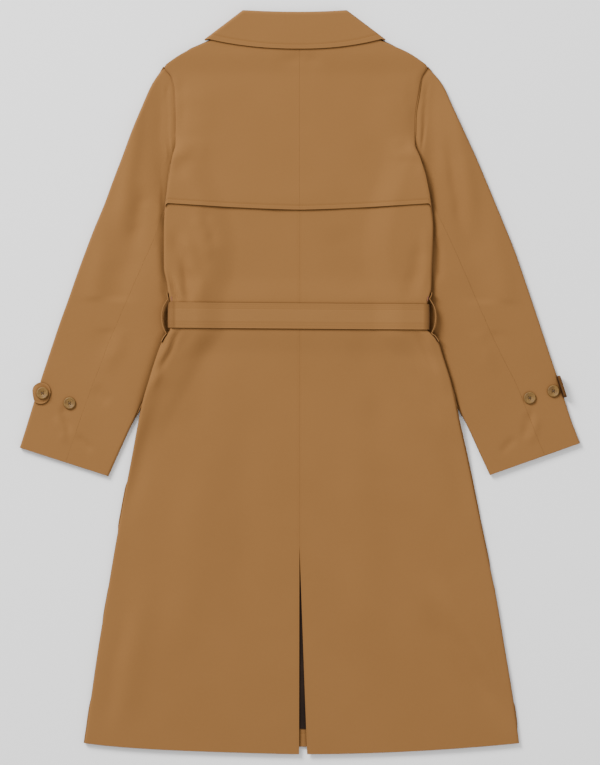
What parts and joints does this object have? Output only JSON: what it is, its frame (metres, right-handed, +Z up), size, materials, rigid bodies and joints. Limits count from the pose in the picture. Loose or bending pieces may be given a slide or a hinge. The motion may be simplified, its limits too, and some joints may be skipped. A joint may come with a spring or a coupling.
{
  "type": "trench coat",
  "caption": "Long belted trench coat laid flat with its back up: collar, storm flap, centre back vent, buttoned sleeve ends.",
  "frame": {"origin": "middle of the underside of the coat's box, on the surface that the coat lies on", "axes": "+Y from hem to collar, +Z up out of the back, +X to the right of somebody looking at the back"},
  "size_m": [0.8412, 1.1166, 0.02],
  "materials": {
    "shell_cloth": "matt cotton gabardine",
    "lining_cloth": "smooth dark lining",
    "button": "satin tan-brown resin"
  },
  "bodies": {
    "root": {"back_left": "shell_cloth", "back_right": "shell_cloth", "flap_left": "shell_cloth", "flap_right": "shell_cloth", "front_left": "shell_cloth", "front_right": "shell_cloth", "front_lining": "lining_cloth", "collar": "shell_cloth", "collar_stand": "shell_cloth", "top_sleeve_left": "shell_cloth", "top_sleeve_right": "shell_cloth", "under_sleeve_left": "shell_cloth", "under_sleeve_right": "shell_cloth", "cuff_tab_left": "shell_cloth", "cuff_tab_right": "shell_cloth", "belt": "shell_cloth", "belt_loop_left": "shell_cloth", "belt_loop_right": "shell_cloth", "button_tab_left": "button", "button_sleeve_left": "button", "button_sleeve_right": "button", "button_edge_right": "button"}
  },
  "joints": []
}
